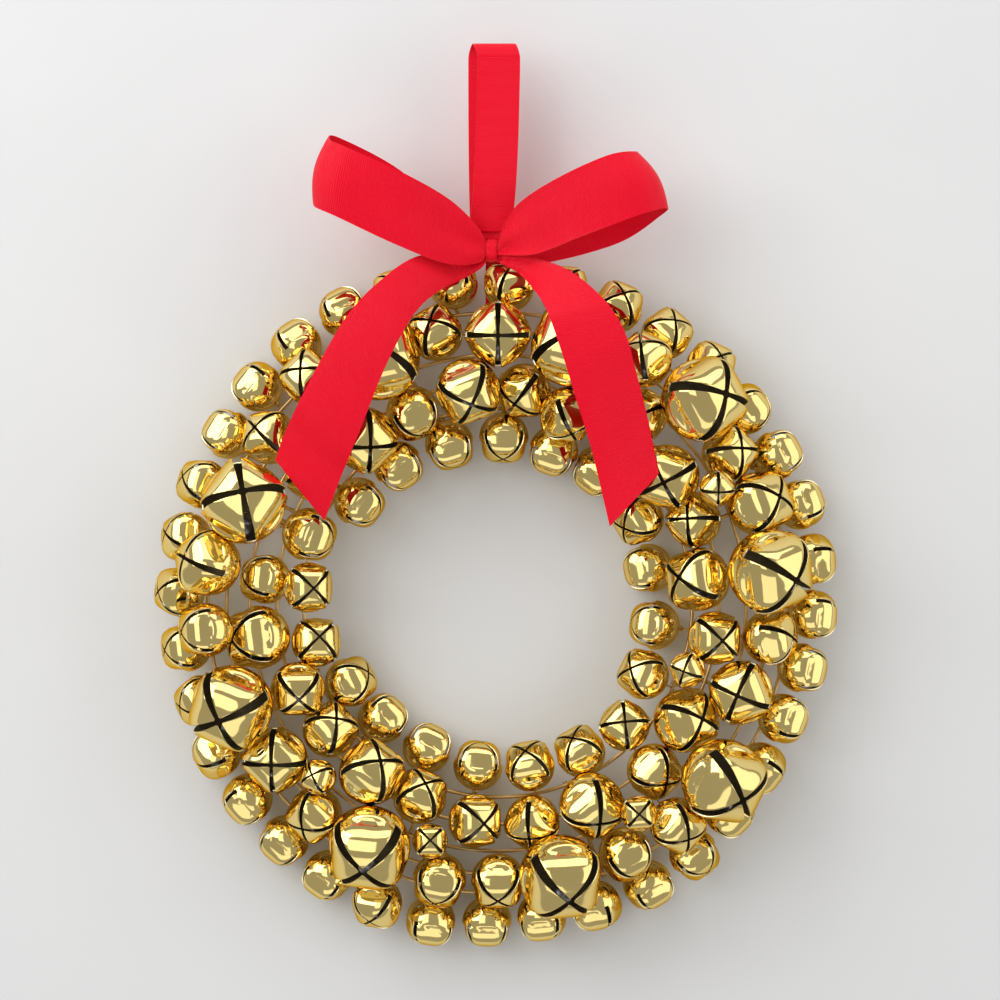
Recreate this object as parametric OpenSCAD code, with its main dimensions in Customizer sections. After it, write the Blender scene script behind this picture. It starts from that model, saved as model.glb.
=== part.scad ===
// A wreath of jingle bells, wired on a frame of rings and hung by a ribbon loop with a tied bow.
// Front is -Y, up is +Z. The origin is where a hook bears inside the top of the hanging loop.

/* [Bells] */
// diameter of a large bell
large_d = 42; // [36:0.5:46]
// diameter of a medium bell
medium_d = 32.5; // [28:0.5:36]
// diameter of a middle bell
middle_d = 27.5; // [24:0.5:30]
// diameter of a small bell, in the outer and the inner row
small_d = 25.5; // [22:0.5:28]
// diameter of a tiny bell
tiny_d = 18; // [15:0.5:20]
// sheet thickness of a bell
shell_wall = 0.8; // [0.5:0.1:1.2]
// least gap between two bells
bell_gap = 0.6; // [0.4:0.1:2]

/* [Slots] */
// slot width at the crossing of a large bell
large_slot = 2.6; // [1.5:0.1:4]
// slot width at the ends of a large bell
large_slot_end = 5; // [3:0.1:7]
// slot width at the crossing of a medium or middle bell
medium_slot = 1.6; // [1:0.1:2.5]
// slot width at the ends of a medium or middle bell
medium_slot_end = 3.2; // [2:0.1:4.5]
// slot width at the crossing of a small or tiny bell
small_slot = 1.2; // [0.8:0.1:2]
// slot width at the ends of a small or tiny bell
small_slot_end = 2.4; // [1.5:0.1:3.5]

/* [Pellets] */
// pellet of a large bell
large_pellet = 11; // [8:0.5:13]
// pellet of a medium bell
medium_pellet = 9; // [6:0.5:11]
// pellet of a middle bell
middle_pellet = 8; // [5:0.5:9]
// pellet of a small bell
small_pellet = 7; // [4.5:0.5:8]
// pellet of a tiny bell
tiny_pellet = 5; // [4:0.5:6]
// gap between a resting pellet and its shell
pellet_clear = 0.4; // [0.2:0.1:1]

/* [Shanks] */
// wire of a shank loop
shank_wire = 1.3; // [1:0.1:1.8]
// height of a shank loop behind its bell
shank_h = 4; // [3:0.1:6]

/* [Frame] */
// radius of the outermost ring
ring_5_r = 151; // [140:0.5:165]
// step in from the outermost ring to the fourth
step_4 = 10; // [8:0.5:13]
// step in from the fourth ring to the third
step_3 = 12; // [9:0.5:15]
// step in from the third ring to the second
step_2 = 14; // [10:0.5:17]
// step in from the second ring to the innermost
step_1 = 14; // [11:0.5:17]
// how far outside the outermost ring the outer row of bells sits
outer_over = 14; // [12:0.5:18]
// wire of the rings
ring_wire = 2; // [1.5:0.1:2.6]
// wire of the radial cross wires
cross_wire = 2; // [1.5:0.1:2.6]
// places round the rings with a pair of cross wires
cross_pairs = 8; // [4:1:12]
// distance between the two wires of a pair
cross_apart = 7; // [5:0.5:12]
// wire that ties a bell to a ring
tie_wire = 1; // [0.6:0.1:1.4]

/* [Ribbon] */
// thickness of the ribbon
ribbon_t = 0.6; // [0.4:0.1:1]
// width of the hanging loop's ribbon
loop_w = 22; // [18:0.5:27]
// inside distance between the two plies of the hanging loop
loop_gap = 10; // [6:0.5:14]
// height from the knot up to the hook
loop_h = 96; // [80:1:120]
// gap between the hanging loop and the ribbon end that it turns on
loop_clear = 0.3; // [0.2:0.1:0.6]
// how far a tail lies in front of the bells under it
tail_clear = 1.2; // [0.8:0.1:3]
// distance from the hook back to the plane of the rings
frame_back = 14; // [10:0.5:18]
// height of the knot above the outer row of bells
knot_up = 17; // [16:0.5:22]

/* [Hidden] */
$fn = 40;
ring_4_r = ring_5_r - step_4;
ring_3_r = ring_4_r - step_3;
ring_2_r = ring_3_r - step_2;
ring_1_r = ring_2_r - step_1;
RINGS = [ring_1_r, ring_2_r, ring_3_r, ring_4_r, ring_5_r];
SIZES = [large_d, medium_d, middle_d, small_d, tiny_d];
PELLETS = [large_pellet, medium_pellet, middle_pellet, small_pellet, tiny_pellet];
SLOTS = [large_slot, medium_slot, medium_slot, small_slot, small_slot];
SLOT_ENDS = [large_slot_end, medium_slot_end, medium_slot_end, small_slot_end, small_slot_end];
GOLD = [0.85, 0.68, 0.25];
BRASS = [0.72, 0.56, 0.24];
STEEL = [0.55, 0.55, 0.58];
RED = [0.9, 0.03, 0.15];
// The knot sits in front of the hanging loop's root and above the top bell. Plies in it lie this far apart.
PLY = 0.2;
KNOT_SIDES = [-5.9, -0.9];
KNOT_FLAT = 1.6;
knot_half = 2.8;
ROOT = knot_half - ribbon_t / 2 - PLY;
knot_z = ring_5_r + outer_over + knot_up;
knot_y = -frame_back - knot_half - 2.5 * ribbon_t - PLY;
loop_low = knot_z + 11;
hang_drop = loop_low + loop_h;

// Layout of the bells, by clock angle in degrees and mm outside (or, with a minus, inside) the outermost ring.
// Then how far the cross leans outward and clockwise from facing forward, and the turn of the slots.
// Outer row: evenly spaced, each with its own outward lean and a small shift out or in.
OUTER_FIRST = 2;
OUTER_LEAN = [50, 36, 38, 42, 40, 80, 95, 95, 95, 95, 95, 90,
              95, 95, 68, 95, 95, 95, 95, 95, 55, 95, 95, 95,
              75, 60, 62, 60, 60, 60, 95, 95, 95, 95, 40, 85];
OUTER_SHIFT = [-1, 0, 0, -1, -1, -2, -1, 0, -1, -2, -4, -6, -5, -4, 0, 1, 0, -1,
               1, 4, 2, 2, 1, 0, 0, -3, -2, 0, 0, 0, 1, 3, 5, 6, 3, 2];
OUTER = [for (s = [0, 1], k = [s : 2 : 35])
    [3, OUTER_FIRST + 10 * k, outer_over + OUTER_SHIFT[k], OUTER_LEAN[k], 0, k % 4 * 12 + 22]];

INNER = [
    [3, 276, -30, 70, 10, 45],
    [3, 2, -65, -65, 0, 45], [3, 37, -65, -95, 0, 45], [3, 77, -71, -95, 0, 40], [3, 116, -67, -40, 0, 45],
    [3, 151, -63, -45, 0, 45], [3, 187, -66, -80, 0, 45], [3, 225, -66, -95, 0, 40], [3, 258, -55, -13, 13, 56],
    [3, 324, -63, -85, 0, 45], [3, 20, -67, -95, 0, 45], [3, 59, -66, -48, 0, 45],
    [3, 98, -69, -80, 0, 45], [3, 134, -60, -9, -9, 41], [3, 169, -65, -45, 5, 45], [3, 206, -67, -95, 0, 45],
    [3, 242, -64, -62, 0, 45], [3, 275, -53, -15, 0, 40], [3, 306, -62, -80, 0, 45], [3, 343, -65, -80, 0, 45]
];

// A medium bell that is wired on before the middle ones in front of it.
LOW_MEDIUM = [[1, 262, -26, 56, 3, 45]];

MIDDLE = [
    [2, 290, -47, -80, 0, 45],
    [2, 320, 1, 26, 0, 39], [2, 306, -5, 41, 0, 9], [2, 265, -1, 67, 0, 45], [2, 221, -7, 45, 0, 49],
    [2, 192, -5, 65, 0, 45], [2, 180, -8, 48, 0, 45], [2, 153, -6, 75, -10, 45], [2, 141, -5, 43, 0, 30],
    [2, 97, -10, 60, -10, 10], [2, 57, -9, 30, 5, 33], [2, 31, -5, 29, -34, 45], [2, 347, -8, 32, -6, 25],
    [2, 7, -40, -36, -22, 38], [2, 20, -47, -42, 35, 30], [2, 336, -43, -75, 5, 45],
    [2, 247, -39, 4, -22, 68], [2, 233, -42, -32, 15, 37], [2, 202, -43, -38, 0, 45], [2, 186, -38, 0, -20, 39],
    [2, 171, -37, 36, 16, 10], [2, 137, -33, 42, 0, 45], [2, 99, -38, 15, 2, 36], [2, 67, -41, -14, -11, 22],
    [2, 37, -29, 0, 0, 30], [2, 305, -34, 10, 0, 30]
];

MEDIUM = [
    [1, 278, -1, 51, 9, 20], [1, 235, -11, 9, -3, 35], [1, 110, -18, -8, 7, 3], [1, 69, -7, 41, 0, 45],
    [1, 0, -12, -5, 0, 0], [1, 352, -40, -30, 4, 30], [1, 321, -42, -20, 0, 39], [1, 217, -42, -34, 0, 45],
    [1, 155, -37, 39, 1, 25], [1, 122, -37, 23, -23, 77], [1, 83, -47, -40, -11, 45], [1, 53, -42, -15, 4, 9]
];

TINY = [
    [4, 226, -23, 8, 23, 20], [4, 196, -24, -7, 0, 29], [4, 146, -22, 0, 0, 75], [4, 109, -48, -14, 10, 0],
    [4, 62, -24, -4, 14, 28]
];

LARGE = [
    [0, 292, -11, 5, 15, 58], [0, 249, -5, 22, -13, 85], [0, 208, -10, 34, -10, 17],
    [0, 167, -8, 37, -6, 56], [0, 128, -5, 40, 6, 27], [0, 83, -11, 36, 22, 45],
    [0, 45, -3, 28, 19, 63], [0, 334, -11, 15, 10, 60], [0, 16, -13, 15, -10, 45]
];

function radius(b) = SIZES[b[0]] / 2;
function far(b) = ring_5_r + b[2];
// The dome behind the petals is a little smaller than the petals' corners.
DOME = 0.95;
function crown(b) = DOME * radius(b);
function axis(b) = let (x = cos(b[3]) * sin(b[4]), z = sin(b[3]), c = b[1])
    [x * cos(c) + z * sin(c), -cos(b[3]) * cos(b[4]), -x * sin(c) + z * cos(c)];

// A placed bell is [layout entry, centre, axis]. Its shank is a small ball behind it.
function shank_at(p) = p[1] - p[2] * (crown(p[0]) + shank_h / 2);

// Depths that a ball at q (seen from a bell at depth 0) may not take because of a ball at t.
function blocked(q, rq, t, rt) = let (dx = q[0] - t[0], dz = q[2] - t[2], reach = rq + rt + bell_gap,
    left = reach * reach - dx * dx - dz * dz)
    left <= 0 ? [] : [[q[1] - t[1] - sqrt(left), q[1] - t[1] + sqrt(left)]];

function step_out(depth, bars) = let (e = 0.001,
    hit = [for (v = bars) if (depth > v[0] + e && depth < v[1] - e) v[1]])
    len(hit) == 0 ? depth : step_out(min(hit), bars);

// How far forward a bell must sit to pass in front of the ring wires behind it.
function ring_depth(b) = max([for (g = RINGS) let (reach = radius(b) + ring_wire / 2 + bell_gap, d = far(b) - g)
    abs(d) >= reach ? -1000 : sqrt(reach * reach - d * d)]);

// Each bell sits as far back as its shank lets it, and comes forward until it clears those already wired on.
function place(b, done) = let (a = axis(b), r = radius(b), c0 = [far(b) * sin(b[1]), 0, far(b) * cos(b[1])],
    s0 = c0 - a * (crown(b) + shank_h / 2), near = [for (p = done) if (norm(p[1] - c0) < 90) p],
    room = shank_h / 2 + 0.6,
    bars = [for (p = near, w = [[c0, r], [s0, room]], t = [[p[1], radius(p[0])], [shank_at(p), room]])
        each blocked(w[0], w[1], t[0], t[1])],
    depth = step_out(max(-a[1] * (crown(b) + shank_h), ring_depth(b)), bars))
    [b, c0 - [0, depth, 0], a];

function place_all(list, done = [], i = 0) = i == len(list) ? done
    : place_all(list, concat(done, [place(list[i], done)]), i + 1);

PLACED = place_all(concat(OUTER, INNER, LOW_MEDIUM, MIDDLE, MEDIUM, TINY, LARGE));

function of_size(k) = [for (p = PLACED) if (p[0][0] == k) p];
OUTER_PLACED = [for (i = [0 : len(OUTER) - 1]) PLACED[i]];
LARGE_PLACED = of_size(0);
INNER_PLACED = [for (i = [0 : len(INNER) - 1]) PLACED[len(OUTER) + i]];

// Moves from the wreath's centre, on the plane of the rings, to the hook.
module from_centre() {
    translate([0, frame_back, -hang_drop]) children();
}

module at_bell(p) {
    from_centre() translate(p[1])
        rotate([0, p[0][1], 0]) rotate([0, 0, p[0][4]])
            rotate([90 - p[0][3], 0, 0]) rotate([0, 0, -p[0][5]]) children();
}

// A petal of a bell lies on a ball of this radius, whose centre is off to the far side and behind.
SIDE = 0.45;
BACK = 0.4;
function petal_r(r) = r * sqrt(pow(0.9 + SIDE, 2) + BACK * BACK);

// The front of a bell: four petals, cut off behind at a level.
module petals(r, inset, level) {
    intersection() {
        translate([0, 0, r + level]) cube(2 * r, center = true);
        rotate([0, 0, 45]) translate([SIDE * r, 0, -BACK * r]) sphere(petal_r(r) - inset);
        rotate([0, 0, 135]) translate([SIDE * r, 0, -BACK * r]) sphere(petal_r(r) - inset);
        rotate([0, 0, 225]) translate([SIDE * r, 0, -BACK * r]) sphere(petal_r(r) - inset);
        rotate([0, 0, 315]) translate([SIDE * r, 0, -BACK * r]) sphere(petal_r(r) - inset);
    }
}

// The back of a bell: a round dome, cut off in front at a level.
module dome(r, level) {
    intersection() {
        sphere(r);
        translate([0, 0, level - 2 * r]) cube(4 * r, center = true);
    }
}

module slot_cut(r, w, w_end) {
    translate([0, 0, -0.05 * r]) linear_extrude(height = 2 * r)
        polygon([[-r, -w_end / 2], [0, -w / 2], [r, -w_end / 2], [r, w_end / 2], [0, w / 2], [-r, w_end / 2]]);
}

module shell(k) {
    r = SIZES[k] / 2;
    difference() {
        union() {
            petals(r, 0, 0);
            dome(DOME * r, 0);
        }
        petals(r, shell_wall, -shell_wall);
        dome(DOME * r - shell_wall, -shell_wall);
        slot_cut(r, SLOTS[k], SLOT_ENDS[k]);
        rotate([0, 0, 90]) slot_cut(r, SLOTS[k], SLOT_ENDS[k]);
    }
}

// A shank is a wire loop whose two feet sit on the dome.
module shank(k) {
    r = SIZES[k] / 2;
    bend = shank_h / 2;
    translate([0, 0, -DOME * r - shank_h + bend + 0.5]) rotate([90, 0, 0])
        rotate_extrude() translate([bend - shank_wire / 2, 0]) circle(d = shank_wire);
}

module bells(list) {
    color(GOLD) for (p = list) at_bell(p) shell(p[0][0]);
}

module shanks(list) {
    color(BRASS) for (p = list) at_bell(p) shank(p[0][0]);
}

// Turns a point of a bell the way the bell is turned.
function turn_x(v, a) = [v[0], v[1] * cos(a) - v[2] * sin(a), v[1] * sin(a) + v[2] * cos(a)];
function turn_y(v, a) = [v[0] * cos(a) + v[2] * sin(a), v[1], v[2] * cos(a) - v[0] * sin(a)];
function turn_z(v, a) = [v[0] * cos(a) - v[1] * sin(a), v[0] * sin(a) + v[1] * cos(a), v[2]];
function turned(b, v) = turn_y(turn_z(turn_x(turn_z(v, -b[5]), 90 - b[3]), b[4]), b[1]);

// How far a pellet can go from the middle of its bell, down for s = -1 and up for s = 1.
function pellet_way(b, s) = let (r = radius(b), less = shell_wall + pellet_clear + PELLETS[b[0]] / 2,
    q = petal_r(r) - less,
    petals = [for (a = [45 : 90 : 315]) let (c = turned(b, r * [SIDE * cos(a), SIDE * sin(a), -BACK]))
        s * c[2] + sqrt(q * q - c[0] * c[0] - c[1] * c[1])])
    min(concat([crown(b) - less], petals));

// A pellet rests at the bottom of its bell.
module pellets(list) {
    color(STEEL) for (p = list)
        from_centre() translate(p[1] - [0, 0, pellet_way(p[0], -1)]) sphere(d = PELLETS[p[0][0]]);
}

module ring(r) {
    color(BRASS) from_centre() rotate([90, 0, 0]) rotate_extrude() translate([r, 0]) circle(d = ring_wire);
}

// The cross wires are pressed into the rings at the welds, and run a little past the outer rings.
WELD = 0.2;
CROSS_OVER = 2;

module cross_wires() {
    color(BRASS) from_centre() for (k = [0 : cross_pairs - 1], s = [-1, 1])
        rotate([0, (k + 0.5) * 360 / cross_pairs, 0])
            translate([s * cross_apart / 2, (ring_wire + cross_wire) / 2 - WELD, ring_1_r - CROSS_OVER])
                cylinder(d = cross_wire, h = ring_5_r - ring_1_r + 2 * CROSS_OVER);
}

function seg_far(a, b, c) = let (u = b - a, t = max(0, min(1, (c - a) * u / (u * u)))) norm(a + u * t - c);

TIE_CLEAR = 0.3;

// A tie runs from the back of a shank to the nearest ring place that it can reach past the other bells.
function tie_ends(p) = let (from = p[1] - p[2] * (crown(p[0]) + shank_h - shank_wire / 2),
    near = [for (q = PLACED) if (norm(q[1] - from) < 80 && q[1] != p[1]) q],
    ways = [for (g = RINGS, dc = [-18 : 3 : 18]) let (c = p[0][1] + dc, to = [g * sin(c), 0, g * cos(c)])
        if (min([for (q = near) seg_far(from, to, q[1]) - radius(q[0])]) > tie_wire / 2 + TIE_CLEAR)
            [norm(to - from), to]],
    best = len(ways) == 0 ? 0 : min([for (w = ways) w[0]]))
    [from, len(ways) == 0 ? from : [for (w = ways) if (w[0] == best) w[1]][0]];

module rod(a, b, d) {
    u = b - a;
    translate(a) rotate([0, acos(u[2] / norm(u)), atan2(u[1], u[0])]) cylinder(d = d, h = norm(u));
}

module tie_wires() {
    color(BRASS) from_centre() for (p = PLACED) {
        e = tie_ends(p);
        if (norm(e[1] - e[0]) > 0.5) rod(e[0], e[1], tie_wire);
    }
}

// A ribbon is two edges, each a list of points, filled in with smooth steps and given a thickness.
function curve(list, i, t) = let (n = len(list) - 1,
    a = list[max(0, i - 1)], b = list[i], c = list[min(n, i + 1)], d = list[min(n, i + 2)])
    0.5 * (2 * b + t * (c - a) + t * t * (2 * a - 5 * b + 4 * c - d) + t * t * t * (3 * b - a - 3 * c + d));
function smooth(list, steps) = let (n = len(list) - 1)
    [for (i = [0 : n - 1], s = [0 : steps - 1]) curve(list, i, s / steps), list[n]];

module ribbon(edge_a, edge_b, steps) {
    a = smooth(edge_a, steps);
    b = smooth(edge_b, steps);
    n = len(a) - 1;
    along = [for (i = [0 : n]) (a[min(n, i + 1)] + b[min(n, i + 1)]) - (a[max(0, i - 1)] + b[max(0, i - 1)])];
    face = [for (i = [0 : n]) let (v = cross(along[i], b[i] - a[i])) v / norm(v) * ribbon_t / 2];
    points = [for (i = [0 : n]) each [a[i] + face[i], b[i] + face[i], b[i] - face[i], a[i] - face[i]]];
    walls = [for (i = [0 : n - 1], k = [0 : 3]) let (p = 4 * i + k, q = 4 * i + (k + 1) % 4)
        each k == 2 ? [[p, q, p + 4], [q, q + 4, p + 4]] : [[p, q, q + 4], [p, q + 4, p + 4]]];
    m = 4 * n;
    caps = [[0, 3, 2], [0, 2, 1], [m, m + 1, m + 2], [m, m + 2, m + 3]];
    color(RED) from_centre() polyhedron(points, concat(walls, caps));
}

// The front of the bells at a place on the wreath.
function front(x, z) = min([for (p = PLACED) let (r = radius(p[0]), d = norm([p[1][0] - x, p[1][2] - z]))
    d < r ? p[1][1] - sqrt(r * r - d * d) : 0]);

// The heights of the bow's points are counted from the knot.
function by_knot(list) = [for (q = list) [q[0], knot_z + q[1]]];

// A tail starts beside the knot and lies over the foremost bells under it.
TAIL_STEPS = 4;
TAIL_REACH = 4;
function over(a, b) = let (fronts = [for (s = [0 : 0.125 : 1]) let (m = a + s * (b - a)) front(m[0], m[1])])
    min(concat([knot_y], fronts));
function round_about(list, i) = let (first = max(0, i - TAIL_REACH), last = min(len(list) - 1, i + TAIL_REACH))
    [for (j = [first : last]) list[j]];
function least(list, i) = min(round_about(list, i));
function mean(list, i) = let (part = round_about(list, i)) part * [for (v = part) 1] / len(part);

module tail(edge_a, edge_b) {
    a = smooth(by_knot(edge_a), TAIL_STEPS);
    b = smooth(by_knot(edge_b), TAIL_STEPS);
    n = len(a) - 1;
    under = [for (i = [0 : n]) over(a[i], b[i])];
    low = [for (i = [0 : n]) least(under, i)];
    y = [for (i = [0 : n]) i < 3 ? knot_y : mean(low, i) - tail_clear];
    ribbon([for (i = [0 : n]) [a[i][0], y[i], a[i][1]]], [for (i = [0 : n]) [b[i][0], y[i], b[i][1]]], 1);
}

module left_tail() {
    tail([[-6.2, -2.6], [-12, -3], [-22, -3], [-40, -3], [-57, -14],
          [-77, -35], [-95, -66], [-108, -92], [-114, -108]],
         [[-6.2, -5.4], [-9, -9], [-17, -14], [-30, -21], [-43, -34],
          [-57, -60], [-70, -92], [-80, -116], [-89, -139]]);
}

module right_tail() {
    tail([[-0.6, -5.4], [4, -8], [11, -12], [17, -19], [24, -30],
          [32, -52], [40, -78], [48, -104], [57, -142]],
         [[-0.6, -2.6], [7, -3], [19, -4], [35, -10], [52, -24],
          [64, -42], [71, -66], [77, -90], [82, -115]]);
}

// The loops of the bow, from the front of the knot round to its back. Depths are counted from the knot.
LOOP_Y = [-ROOT, -ROOT, -5, -12, -22, -25, -17, -8, 0, 1.6, 2, ROOT, ROOT];

module bow_loop(upper, lower) {
    a = by_knot(upper);
    b = by_knot(lower);
    n = len(LOOP_Y) - 1;
    ribbon([for (i = [0 : n]) [a[i][0], knot_y + LOOP_Y[i], a[i][1]]],
           [for (i = [0 : n]) [b[i][0], knot_y + LOOP_Y[i], b[i][1]]], 4);
}

module bow_left_loop() {
    bow_loop([[-4.2, 1.5], [-6.1, 2], [-10, 11], [-24, 25], [-47, 38], [-76, 51], [-86, 56],
              [-82, 58], [-51, 42], [-22, 16], [-11, 6], [-6.1, 2], [-4.2, 1.5]],
             [[-4.2, -1.5], [-6.1, -2], [-10.5, -6.5], [-27, -7], [-52, 2], [-82, 16], [-94, 22],
              [-89, 24], [-57, 9], [-24, -6], [-11, -3.5], [-6.1, -2], [-4.2, -1.5]]);
}

module bow_right_loop() {
    bow_loop([[-2.6, 1.5], [-0.7, 2], [2.5, 13], [12, 25], [32, 37], [56, 47.5], [70, 50],
              [68, 48], [46, 32], [14, 12], [4, 5], [-0.7, 2], [-2.6, 1.5]],
             [[-2.6, -1.5], [-0.7, -2], [5, -2.5], [20, -2], [42, 6], [72, 17], [86, 21],
              [84, 18], [62, 4], [24, -6], [4.5, -3.5], [-0.7, -2], [-2.6, -1.5]]);
}

// The knot is a short band of ribbon round the gathered roots of the loops and tails, flat in front and behind.
module knot_profile(grow) {
    r = knot_half + grow;
    translate([0, KNOT_FLAT]) circle(r);
    translate([0, -KNOT_FLAT]) circle(r);
    square([2 * r, 2 * KNOT_FLAT], center = true);
}

module bow_knot() {
    color(RED) from_centre() translate([KNOT_SIDES[0], knot_y, knot_z]) rotate([90, 0, 90])
        linear_extrude(height = KNOT_SIDES[1] - KNOT_SIDES[0])
        difference() {
            knot_profile(2 * ribbon_t);
            knot_profile(0);
        }
}

// The hanging loop runs up from the knot, over the hook and down again.
module hanging_loop() {
    y = -frame_back;
    top = hang_drop + ribbon_t / 2;
    g = loop_gap / 2 + ribbon_t / 2;
    low = loop_low;
    seam = ribbon_t / 2 + PLY;
    path = [[y - seam, low], [y - 3, low + 8], [y - g, low + 24], [y - g, low + 50], [y - g, top - g - 6],
            [y - g, top - g], [y - 0.71 * g, top - 0.29 * g], [y, top], [y + 0.71 * g, top - 0.29 * g],
            [y + g, top - g], [y + g, top - g - 6], [y + g, low + 50], [y + g, low + 24],
            [y + 3, low + 8], [y + seam, low]];
    middle = [-3.3, -3, -1.6, -0.4, 0.4, 0, -1.2, -2.2, -3.2, -4.2, -4.4, -4.3, -4, -3.6, -3.3];
    ribbon([for (i = [0 : len(path) - 1]) [middle[i] - loop_w / 2, path[i][0], path[i][1]]],
           [for (i = [0 : len(path) - 1]) [middle[i] + loop_w / 2, path[i][0], path[i][1]]], 4);
}

// The loop's root narrows behind the knot, passes behind the top bell and hooks under the outermost ring.
ROOT_SIDES = [-6.5, 2];
ROOT_TOP = [-14, 7.4];
ROOT_CLEAR = 0.25;
function root_path(x, top) = let (y = -frame_back, r = sqrt(ring_5_r * ring_5_r - x * x),
    w = ring_wire / 2 + ribbon_t / 2 + ROOT_CLEAR)
    [[top, y, loop_low - loop_clear], [(x + top) / 2, y, knot_z + 6], [x, y + 0.8, knot_z + 1],
     [x, y + 8, knot_z - 1.5], [x, 4.5, knot_z - 7], [x, 5, r + outer_over], [x, 3.5, r + 3],
     [x, w, r], [x, 0.7 * w, r - 0.7 * w],
     [x, 0, r - w], [x, -0.7 * w, r - 0.7 * w], [x, -w, r - 0.3]];

module loop_root() {
    edges = [for (k = [0, 1]) root_path(ROOT_SIDES[k], ROOT_TOP[k])];
    ribbon(edges[0], edges[1], 3);
}

ring(ring_1_r);  // ring_1
ring(ring_2_r);  // ring_2
ring(ring_3_r);  // ring_3
ring(ring_4_r);  // ring_4
ring(ring_5_r);  // ring_5
cross_wires();
tie_wires();
bells([LARGE_PLACED[0]]);  // large_bell_1
bells([LARGE_PLACED[1]]);  // large_bell_2
bells([LARGE_PLACED[2]]);  // large_bell_3
bells([LARGE_PLACED[3]]);  // large_bell_4
bells([LARGE_PLACED[4]]);  // large_bell_5
bells([LARGE_PLACED[5]]);  // large_bell_6
bells([LARGE_PLACED[6]]);  // large_bell_7
bells([LARGE_PLACED[7]]);  // large_bell_8
bells([LARGE_PLACED[8]]);  // large_bell_9
shanks([LARGE_PLACED[0]]);  // large_shank_1
shanks([LARGE_PLACED[1]]);  // large_shank_2
shanks([LARGE_PLACED[2]]);  // large_shank_3
shanks([LARGE_PLACED[3]]);  // large_shank_4
shanks([LARGE_PLACED[4]]);  // large_shank_5
shanks([LARGE_PLACED[5]]);  // large_shank_6
shanks([LARGE_PLACED[6]]);  // large_shank_7
shanks([LARGE_PLACED[7]]);  // large_shank_8
shanks([LARGE_PLACED[8]]);  // large_shank_9
pellets([LARGE_PLACED[0]]);  // large_pellet_1
pellets([LARGE_PLACED[1]]);  // large_pellet_2
pellets([LARGE_PLACED[2]]);  // large_pellet_3
pellets([LARGE_PLACED[3]]);  // large_pellet_4
pellets([LARGE_PLACED[4]]);  // large_pellet_5
pellets([LARGE_PLACED[5]]);  // large_pellet_6
pellets([LARGE_PLACED[6]]);  // large_pellet_7
pellets([LARGE_PLACED[7]]);  // large_pellet_8
pellets([LARGE_PLACED[8]]);  // large_pellet_9
bells(of_size(1));  // medium_bells
shanks(of_size(1));  // medium_shanks
pellets(of_size(1));  // medium_pellets
bells(of_size(2));  // middle_bells
shanks(of_size(2));  // middle_shanks
pellets(of_size(2));  // middle_pellets
bells(OUTER_PLACED);  // outer_bells
shanks(OUTER_PLACED);  // outer_shanks
pellets(OUTER_PLACED);  // outer_pellets
bells(INNER_PLACED);  // inner_bells
shanks(INNER_PLACED);  // inner_shanks
pellets(INNER_PLACED);  // inner_pellets
bells(of_size(4));  // tiny_bells
shanks(of_size(4));  // tiny_shanks
pellets(of_size(4));  // tiny_pellets
hanging_loop();
loop_root();
bow_knot();
bow_left_loop();
bow_right_loop();
left_tail();
right_tail();
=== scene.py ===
"""Dresses a wreath of jingle bells: polished bells on a wire frame, and a bow and hanging loop of ribbon."""

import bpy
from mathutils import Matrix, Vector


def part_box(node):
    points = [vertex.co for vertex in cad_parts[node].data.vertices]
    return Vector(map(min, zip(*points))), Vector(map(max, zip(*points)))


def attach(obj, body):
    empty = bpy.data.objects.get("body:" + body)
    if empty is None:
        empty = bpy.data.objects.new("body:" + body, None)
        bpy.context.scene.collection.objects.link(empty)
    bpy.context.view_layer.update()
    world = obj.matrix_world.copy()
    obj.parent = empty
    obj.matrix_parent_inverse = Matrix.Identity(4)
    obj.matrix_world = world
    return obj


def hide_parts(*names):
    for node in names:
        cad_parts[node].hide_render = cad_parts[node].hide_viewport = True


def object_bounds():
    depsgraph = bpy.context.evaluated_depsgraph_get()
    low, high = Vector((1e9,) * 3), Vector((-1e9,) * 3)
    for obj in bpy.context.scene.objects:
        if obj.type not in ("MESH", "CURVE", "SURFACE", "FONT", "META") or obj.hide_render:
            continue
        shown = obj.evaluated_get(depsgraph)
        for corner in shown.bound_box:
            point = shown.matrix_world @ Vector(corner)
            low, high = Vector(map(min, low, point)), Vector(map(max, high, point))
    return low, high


bl_info = {
    "name": "Jingle Bell Wreath",
    "version": (1, 0, 0),
    "blender": (4, 5, 0),
    "location": "3D View > Sidebar > Wreath",
    "description": "Builds a wreath of jingle bells with a grosgrain bow and hanging loop",
    "category": "Add Mesh",
}

import math

import bmesh
import bpy
import numpy as np
from mathutils import Matrix, Vector

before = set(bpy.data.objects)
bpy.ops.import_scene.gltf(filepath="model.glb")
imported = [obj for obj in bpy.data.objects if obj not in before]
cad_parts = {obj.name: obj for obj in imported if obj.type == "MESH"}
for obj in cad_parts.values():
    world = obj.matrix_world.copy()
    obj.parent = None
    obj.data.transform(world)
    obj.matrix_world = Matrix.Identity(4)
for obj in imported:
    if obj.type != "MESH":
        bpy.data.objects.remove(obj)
CAD_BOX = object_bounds()

MM = 0.001
FULL_TURN = 2 * math.pi
RIGHT_ANGLE = math.pi / 2
EIGHTH_TURN = math.pi / 4


def middle_of(node):
    """The middle of a node's box."""
    low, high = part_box(node)
    return (low + high) / 2


# The wreath's centre lies on the plane of the ring wires, and the knot sits above it.
CENTRE = middle_of("ring_5")
KNOT = middle_of("bow_knot")


# Settings that a user would change

def length(name, default, description):
    """A size in metres, shown in the scene's units."""
    return bpy.props.FloatProperty(
        name=name, default=default, description=description, min=0.0, subtype="DISTANCE", unit="LENGTH",
        precision=5)


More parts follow.
